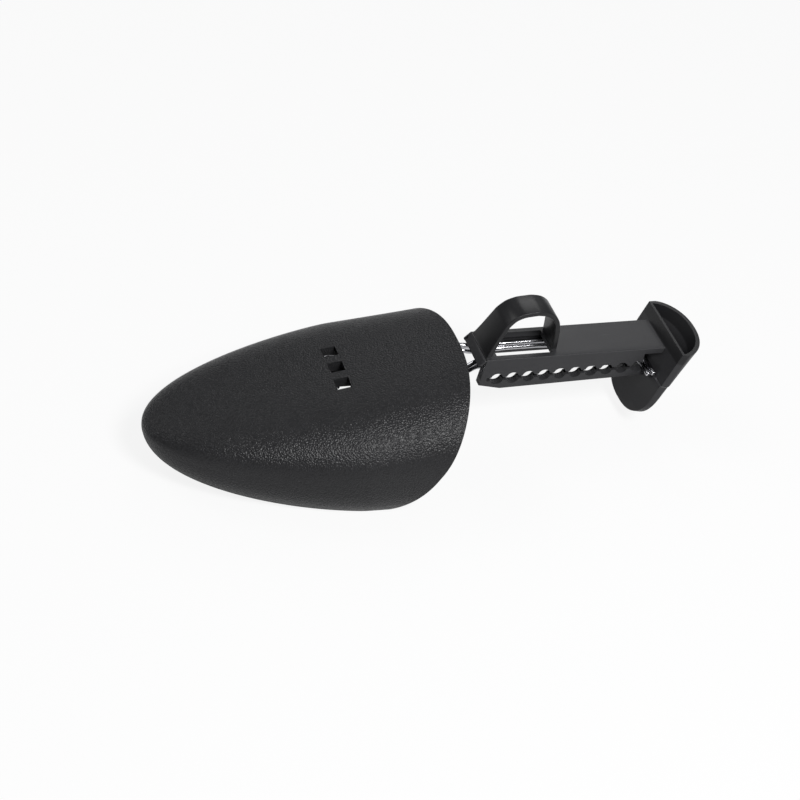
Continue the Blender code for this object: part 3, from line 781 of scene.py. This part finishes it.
def cup_half_at(h, z):
    """Half the cup's width: a superellipse up from the tongue's tip, then nearly straight."""
    round_to, start, end = 0.42, 2.6, 2.3
    share_up = np.clip((z - h.cup_tip) / (h.cup_top - h.cup_tip), 0.0, 1.0)
    wide = h.cup_low_half + (h.cup_half - h.cup_low_half) * share_up
    rest = np.clip(1.0 - share_up / round_to, 0.0, 1.0)
    return wide * (1.0 - rest ** start) ** (1.0 / end)


def cup_depth_at(h, z):
    """Depth of the cup: it grows from the tongue's rim almost evenly with the height."""
    growth = 0.85
    share_up = np.clip((z - h.cup_tip) / (h.cup_top - h.cup_tip), 0.0, 1.0)
    return h.tongue_edge + (h.cup_depth - h.tongue_edge) * share_up ** growth


def cup_rings(h, z, inset, sides):
    """D shaped rings at given heights: a straight front across the width on the leaning plane and
    a back bowed as a superellipse, its depth and half width set by the height."""
    corner, bow_start, bow_end = 0.9, 2.2, 1.6
    z = np.asarray(z, dtype=float)[:, None]
    half = cup_half_at(h, z) - inset
    front_inset = h.cup_front_wall if inset else 0.0
    depth = cup_depth_at(h, z) - inset - front_inset
    front = cup_plane(h, z) + front_inset
    if not inset:
        step = h.ledge * np.clip((h.ledge_height - z) / (h.ledge * 0.5), 0.0, 1.0)
        front = front - step
        depth = depth + step
    flat = sides // 3
    t = np.linspace(0.0, 1.0, flat, endpoint=False)[None, :]
    y_front = half * (1 - 2 * t)
    turn = math.pi * np.linspace(0.0, 1.0, sides - flat, endpoint=False)[None, :]
    y_back = -half * np.sign(np.cos(turn)) * np.abs(np.cos(turn)) ** corner
    bow = np.clip(1.0 - (np.abs(y_back) / half) ** bow_start, 0.0, 1.0) ** (1.0 / bow_end)
    start = front if inset else front + np.minimum(h.tongue_edge, depth / 2)
    x_back = start + (front + depth - start) * bow
    x = np.concatenate([np.broadcast_to(front, y_front.shape), x_back], axis=1)
    y = np.concatenate([y_front, y_back], axis=1)
    return np.stack([station(x), h.cup_offset + y, np.broadcast_to(z, x.shape)], axis=-1)


def cup_surface(h):
    """Heel cup: rings up the outside from the tongue's tip to the rim, over a rounded rim, and
    down the inside to the cup's floor."""
    sides, outer_rings, inner_rings, crowd_at_tip = 120, 70, 24, 1.6
    low = h.cup_tip + (h.cup_top - h.cup_tip) * 0.001
    levels = low + (h.cup_top - low) * np.linspace(0.0, 1.0, outer_rings) ** crowd_at_tip
    around_step = h.ledge_height + h.ledge * np.linspace(-0.7, 0.2, 7)
    outer = cup_rings(h, np.unique(np.concatenate([levels, around_step])), 0.0, sides)
    inner = cup_rings(h, np.linspace(h.cup_top, h.cup_floor, inner_rings), h.cup_wall, sides)
    piece = tube("heel_cup", np.concatenate([outer, inner]), distance=1e-6)
    return round_edges(piece, h.edge_round * 0.9, angle=35.0)


# Materials

MADE = {}


class Socket:
    """A shader value; sums, differences and products on it add Math nodes."""

    def __init__(self, sheet, out):
        self.sheet = sheet
        self.out = out

    def _math(self, operation, *values):
        return self.sheet.node("ShaderNodeMath", {"operation": operation}, dict(enumerate(values)))[0]

    def __add__(self, other):
        return self._math("ADD", self, other)

    def __sub__(self, other):
        return self._math("SUBTRACT", self, other)

    def __rsub__(self, other):
        return self._math("SUBTRACT", other, self)

    def __mul__(self, other):
        return self._math("MULTIPLY", self, other)

    __radd__ = __add__
    __rmul__ = __mul__

    def most(self, other):
        return self._math("MAXIMUM", self, other)

    def clamp(self, low=0.0, high=1.0):
        return self._math("MINIMUM", self.most(low), high)


class Sheet:
    """A node tree of a material or of a sky, with one method that makes every node."""

    def __init__(self, name, sky=False):
        self.material = (bpy.data.worlds if sky else bpy.data.materials).new(name)
        self.material.use_nodes = True
        self.tree = self.material.node_tree
        self.tree.nodes.clear()

    def node(self, kind, settings, values):
        """The outputs of a new node, whose settings are set before its sockets."""
        made = self.tree.nodes.new(kind)
        for key, value in settings.items():
            setattr(made, key, value)
        for key, value in values.items():
            if isinstance(value, Socket):
                self.tree.links.new(value.out, made.inputs[key])
            else:
                if made.inputs[key].type == "RGBA":
                    value = (*value, 1.0)
                made.inputs[key].default_value = value
        return [Socket(self, out) for out in made.outputs]

    def place(self):
        return self.node("ShaderNodeTexCoord", {}, {})[3]

    def mapped(self, where, turn, scale):
        values = {"Vector": where, "Rotation": turn, "Scale": scale}
        return self.node("ShaderNodeMapping", {"vector_type": "POINT"}, values)[0]

    def noise(self, where, scale, detail, rough):
        values = {"Vector": where, "Scale": scale, "Detail": detail, "Roughness": rough}
        return self.node("ShaderNodeTexNoise", {"noise_dimensions": "3D"}, values)[0]

    def cells(self, where, scale):
        values = {"Vector": where, "Scale": scale, "Randomness": 1.0, "Smoothness": 0.3}
        return self.node("ShaderNodeTexVoronoi", {"feature": "SMOOTH_F1"}, values)[0]

    def mix(self, factor, first, second):
        return self.node("ShaderNodeMix", {"data_type": "RGBA"}, {0: factor, 6: first, 7: second})[2]

    def bump(self, height, distance, strength=1.0, **normal):
        values = {"Height": height, "Distance": distance, "Strength": strength, **normal}
        return self.node("ShaderNodeBump", {}, values)[0]

    def surface(self, **values):
        names = {
            "base": "Base Color", "rough": "Roughness", "metal": "Metallic", "normal": "Normal",
            "specular": "Specular IOR Level",
        }
        return self.node("ShaderNodeBsdfPrincipled", {}, {names[k]: v for k, v in values.items()})[0]

    def done(self, output, shader):
        """Ends the tree in its output node and returns the material or the sky."""
        self.node(output, {}, {"Surface": shader})
        return self.material


def tinted(tone, factor):
    """A colour times a factor, worked out in numbers."""
    return tuple(min(1.0, c * factor) for c in tone)


def grained_plastic(tone):
    """Black plastic with a fine pebble grain: small round pebbles that stand a few hundredths of a
    millimetre proud, shinier on their tops, with slow unevenness in tone and shine."""
    sheet = Sheet("Grained shell plastic")
    where = sheet.place()
    pebble = sheet.cells(where, scale=1500.0)
    second = sheet.cells(where, scale=2300.0)
    fine = sheet.noise(where, scale=1500.0, detail=2.0, rough=0.6)
    slow = sheet.noise(where, scale=45.0, detail=3.0, rough=0.55)
    height = (1.0 - pebble) * 0.8 + (1.0 - second) * 0.2 + fine * 0.35
    top = (1.2 - pebble * 1.5).clamp()
    rough = 0.38 - top * 0.12 + (slow - 0.5) * 0.10
    shade = (top * 0.55 + slow * 0.30 + fine * 0.15).clamp()
    base = sheet.mix(shade, tinted(tone, 0.60), tinted(tone, 1.45))
    normal = sheet.bump(height, distance=0.00026)
    shader = sheet.surface(base=base, rough=rough.clamp(0.2, 0.9), normal=normal, specular=0.24)
    return sheet.done("ShaderNodeOutputMaterial", shader)


def smooth_plastic(tone):
    """Satin black plastic as moulded: a very fine spark finish, faint flow marks along the part and
    a few hairline rubs that catch the light. The ring and the cup above the beam's top carry painted
    shade, a darker base, and are a little smoother, so the beam and the tongue are duller and lighter."""
    sheet = Sheet("Satin handle plastic")
    where = sheet.place()
    spark = sheet.noise(where, scale=3200.0, detail=2.0, rough=0.6)
    slow = sheet.noise(where, scale=60.0, detail=4.0, rough=0.55)
    flow_place = sheet.mapped(where, turn=(0.0, 0.0, 0.0), scale=(40.0, 420.0, 420.0))
    flow = sheet.noise(flow_place, scale=1.0, detail=3.0, rough=0.6)
    rub_place = sheet.mapped(where, turn=(0.0, 0.1, 0.35), scale=(90.0, 2600.0, 900.0))
    rub = ((sheet.noise(rub_place, scale=1.0, detail=2.0, rough=0.5) - 0.68) * 6.0).clamp()
    rough = 0.38 + (slow - 0.5) * 0.14 + (flow - 0.5) * 0.08 - rub * 0.10 + (spark - 0.5) * 0.10
    base = sheet.mix((slow * 0.6 + flow * 0.4).clamp(), tinted(tone, 0.80), tinted(tone, 1.22))
    base = sheet.mix(rub * 0.5, base, tinted(tone, 1.9))
    height = sheet.node("ShaderNodeSeparateXYZ", {}, {"Vector": where})[2]
    # Painted shade: above the beam's top the base is darkened on the ring and the cup; the lower roughness
    # there is a smoother finish.
    shade_and_polish_from, shade_and_polish_change = 0.0351, 1800.0
    shade_and_polish = ((height - shade_and_polish_from) * shade_and_polish_change).clamp()
    base = sheet.mix(shade_and_polish * 0.9, base, tinted(tone, 0.42))
    rough = rough - shade_and_polish * 0.06
    sparks = sheet.bump(spark, distance=0.000012)
    normal = sheet.bump(slow * 0.7 + flow * 0.3, distance=0.00006, strength=0.6, Normal=sparks)
    shader = sheet.surface(base=base, rough=rough.clamp(0.2, 0.8), normal=normal, specular=0.25)
    return sheet.done("ShaderNodeOutputMaterial", shader)


def drawn_steel(tone):
    """Bright steel wire: long fine drawing lines round its skin and a slow change of shine."""
    sheet = Sheet("Drawn steel wire")
    around = sheet.node("ShaderNodeUVMap", {"uv_map": "along"}, {})[0]
    lines_place = sheet.mapped(around, turn=(0.0, 0.0, 0.0), scale=(38.0, 0.35, 1.0))
    lines = sheet.noise(lines_place, scale=1.0, detail=3.0, rough=0.6)
    slow = sheet.noise(sheet.place(), scale=120.0, detail=3.0, rough=0.55)
    rough = 0.16 + (lines - 0.5) * 0.14 + (slow - 0.5) * 0.14
    base = sheet.mix((lines * 0.5 + slow * 0.5).clamp(), tinted(tone, 0.86), tinted(tone, 1.14))
    normal = sheet.bump(lines, distance=0.00002, strength=0.8)
    shader = sheet.surface(base=base, rough=rough.clamp(0.08, 0.5), metal=1.0, normal=normal)
    return sheet.done("ShaderNodeOutputMaterial", shader)


def studio_floor(tone):
    """Pale floor, seen mostly plain white by the camera, so that the shadow on it stays faint."""
    white_share = 0.87
    sheet = Sheet("Pale floor")
    slow = sheet.noise(sheet.place(), scale=3.0, detail=2.0, rough=0.5)
    lit = sheet.surface(base=sheet.mix(slow, tinted(tone, 0.99), tone), rough=0.9, specular=0.1)
    white = sheet.node("ShaderNodeEmission", {}, {"Color": (1.0, 1.0, 1.0), "Strength": 1.0})[0]
    seen = sheet.node("ShaderNodeLightPath", {}, {})[0]
    both = sheet.node("ShaderNodeMixShader", {}, {0: seen * white_share, 1: lit, 2: white})[0]
    return sheet.done("ShaderNodeOutputMaterial", both)


def shared_material(maker, tone):
    """The material made by maker, made once and used by every piece of that finish."""
    if maker not in MADE:
        MADE[maker] = maker(tuple(tone))
    return MADE[maker]


def finish_piece(piece, body, node, maker, tone):
    """Gives a piece its body and its material, and hides the imported part of its node."""
    piece.data.materials.append(shared_material(maker, tone))
    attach(piece, body)
    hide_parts(node)


# Operators

class SHAPER_OT_toe_shell(bpy.types.Operator):
    """Build the grained toe shell with its three square vents"""
    bl_idname = "shaper.toe_shell"
    bl_label = "Toe Shell"

    def execute(self, context):
        scene = context.scene
        piece = toe_shell_surface(scene.shaper_shell)
        finish_piece(piece, "shell", "toe_shell", grained_plastic, scene.shaper_colours.shell)
        return {"FINISHED"}


class SHAPER_OT_wire_hooks(bpy.types.Operator):
    """Build the three moulded hooks that hold the wire and the side walls under the vents"""
    bl_idname = "shaper.wire_hooks"
    bl_label = "Wire Hooks"

    def execute(self, context):
        scene = context.scene
        s, w = scene.shaper_shell, scene.shaper_wire
        finish = "shell", "toe_shell", smooth_plastic, scene.shaper_colours.handle
        half = s.hook_width / 2
        for side, name in ((-1, "near"), (0, "middle"), (1, "far")):
            y = side * s.vent_pitch
            piece = slab("wire_hook_" + name, hook_outline(s, w, side), y - half, y + half)
            round_edges(piece, s.hook_wall * 0.12, segments=2)
            finish_piece(piece, *finish)
            for edge, place in ((-1, "near"), (1, "far")):
                low = y + edge * (s.vent + s.hook_barb_wall) / 2 - s.hook_barb_wall / 2
                line = well_outline(s, y + edge * s.vent / 2)
                wall = slab(f"vent_well_{name}_{place}_wall", line, low, low + s.hook_barb_wall)
                finish_piece(wall, *finish)
        return {"FINISHED"}


class SHAPER_OT_spring_wire(bpy.types.Operator):
    """Build the bent spring wire from one latching end to the other"""
    bl_idname = "shaper.spring_wire"
    bl_label = "Spring Wire"

    def execute(self, context):
        scene = context.scene
        piece = wire_surface(scene.shaper_shell, scene.shaper_wire, scene.shaper_handle)
        finish_piece(piece, "wire", "spring_wire", drawn_steel, scene.shaper_colours.wire)
        return {"FINISHED"}


class SHAPER_OT_beam(bpy.types.Operator):
    """Build the handle's beam: top plate with its window, web with the holes, far wall and lip"""
    bl_idname = "shaper.beam"
    bl_label = "Beam"

    def execute(self, context):
        scene = context.scene
        h, w = scene.shaper_handle, scene.shaper_wire
        for piece in (beam_surface(h, w), lower_web_surface(h, w), lip_surface(h)):
            finish_piece(piece, "grip", "handle", smooth_plastic, scene.shaper_colours.handle)
        return {"FINISHED"}


class SHAPER_OT_finger_ring(bpy.types.Operator):
    """Build the finger ring that stands on the beam over the window"""
    bl_idname = "shaper.finger_ring"
    bl_label = "Finger Ring"

    def execute(self, context):
        scene = context.scene
        piece = ring_surface(scene.shaper_handle, scene.shaper_shell.gap)
        finish_piece(piece, "grip", "handle", smooth_plastic, scene.shaper_colours.handle)
        return {"FINISHED"}


class SHAPER_OT_heel_cup(bpy.types.Operator):
    """Build the open heel cup and the tongue under it"""
    bl_idname = "shaper.heel_cup"
    bl_label = "Heel Cup"

    def execute(self, context):
        scene = context.scene
        piece = cup_surface(scene.shaper_handle)
        finish_piece(piece, "grip", "handle", smooth_plastic, scene.shaper_colours.handle)
        return {"FINISHED"}


def area_light(name, place, side, power):
    """Square lamp turned to the middle of the object."""
    lamp = bpy.data.lights.new(name, "AREA")
    lamp.size = side
    lamp.energy = power
    made = put_object(name, lamp)
    turn = (Vector(place) - Vector((0.0, 0.0, 0.02))).to_track_quat("Z", "Y").to_matrix().to_4x4()
    made.matrix_world = Matrix.Translation(Vector(place)) @ turn


CAMERA = {
    "azimuth": 22.108, "elevation": 37.524, "roll": 9.4217, "focal": 2136.5,
    "x": -0.1486, "y": -0.6182, "z": 0.5343,
}


def photo_camera():
    """Camera at the photograph's angle: azimuth, elevation and roll in degrees, focal length in
    pixels of a frame 800 pixels wide, and its place with X counted from the toe tip."""
    az, el, roll = (math.radians(CAMERA[k]) for k in ("azimuth", "elevation", "roll"))
    lens = bpy.data.cameras.new("photo_camera")
    lens.sensor_width = 36.0
    lens.sensor_fit = "HORIZONTAL"
    lens.lens = CAMERA["focal"] / 800 * lens.sensor_width
    lens.clip_start = 0.01
    lens.clip_end = 50.0
    made = put_object("photo_camera", lens)
    eye = Vector((station(CAMERA["x"]), CAMERA["y"], CAMERA["z"]))
    level = Matrix.Rotation(-az, 4, "Z") @ Matrix.Rotation(math.pi / 2 - el, 4, "X")
    made.matrix_world = Matrix.Translation(eye) @ level @ Matrix.Rotation(roll, 4, "Z")
    bpy.context.scene.camera = made


def studio_sky(scene):
    """Plain white sky for the camera and a soft even light for all else."""
    sky = Sheet("studio_sky", sky=True)
    path = sky.node("ShaderNodeLightPath", {}, {})
    seen = path[0].most(path[6])
    soft = sky.node("ShaderNodeBackground", {}, {"Color": (0.95, 0.97, 1.0), "Strength": 0.18})[0]
    plain = sky.node("ShaderNodeBackground", {}, {"Color": (1.0, 1.0, 1.0), "Strength": 1.0})[0]
    both = sky.node("ShaderNodeMixShader", {}, {0: seen, 1: soft, 2: plain})[0]
    scene.world = sky.done("ShaderNodeOutputWorld", both)


class SHAPER_OT_stage(bpy.types.Operator):
    """Set the pale floor, the soft lamps, the sky and the camera"""
    bl_idname = "shaper.stage"
    bl_label = "Stage"

    def execute(self, context):
        scene = context.scene
        reach, low = 4.0, -0.0002
        points = [(x * reach, y * reach, low) for x, y in ((-1, -1), (1, -1), (1, 1), (-1, 1))]
        floor = put_mesh("studio_floor", points, [np.array([[0, 1, 2, 3]])])
        floor.data.materials.append(shared_material(studio_floor, scene.shaper_colours.floor))
        area_light("key", (0.20, -0.82, 0.99), side=0.38, power=17.0)
        area_light("back lamp", (0.40, 0.99, 0.82), side=0.5, power=1.9)
        area_light("toe lamp", (-0.66, 0.53, 0.86), side=0.5, power=2.0)
        studio_sky(scene)
        scene.view_settings.view_transform = "Standard"
        photo_camera()
        return {"FINISHED"}


class SHAPER_PT_panel(bpy.types.Panel):
    """Lists the pieces of the shoe shaper"""
    bl_idname = "SHAPER_PT_panel"
    bl_label = "Shoe Shaper"
    bl_space_type = "VIEW_3D"
    bl_region_type = "UI"
    bl_category = "Shaper"

    def draw(self, context):
        for step in STEPS:
            self.layout.operator(step.bl_idname)
        for name in GROUPS:
            group = getattr(context.scene, name)
            box = self.layout.box()
            for key in group.bl_rna.properties.keys():
                if key not in {"rna_type", "name"}:
                    box.prop(group, key)


STEPS = (
    SHAPER_OT_toe_shell, SHAPER_OT_wire_hooks, SHAPER_OT_spring_wire, SHAPER_OT_beam,
    SHAPER_OT_finger_ring, SHAPER_OT_heel_cup, SHAPER_OT_stage,
)
GROUPS = {
    "shaper_shell": ToeShellSizes,
    "shaper_wire": WireSizes,
    "shaper_handle": HandleSizes,
    "shaper_colours": ShaperColours,
}


def register():
    for kind in (*GROUPS.values(), *STEPS, SHAPER_PT_panel):
        bpy.utils.register_class(kind)
    for name, kind in GROUPS.items():
        setattr(bpy.types.Scene, name, PointerProperty(type=kind))


def unregister():
    for name in GROUPS:
        delattr(bpy.types.Scene, name)
    for kind in reversed((*GROUPS.values(), *STEPS, SHAPER_PT_panel)):
        bpy.utils.unregister_class(kind)


def main():
    register()
    for step in STEPS:
        group, name = step.bl_idname.split(".")
        getattr(getattr(bpy.ops, group), name)()


if __name__ == "__main__":
    main()
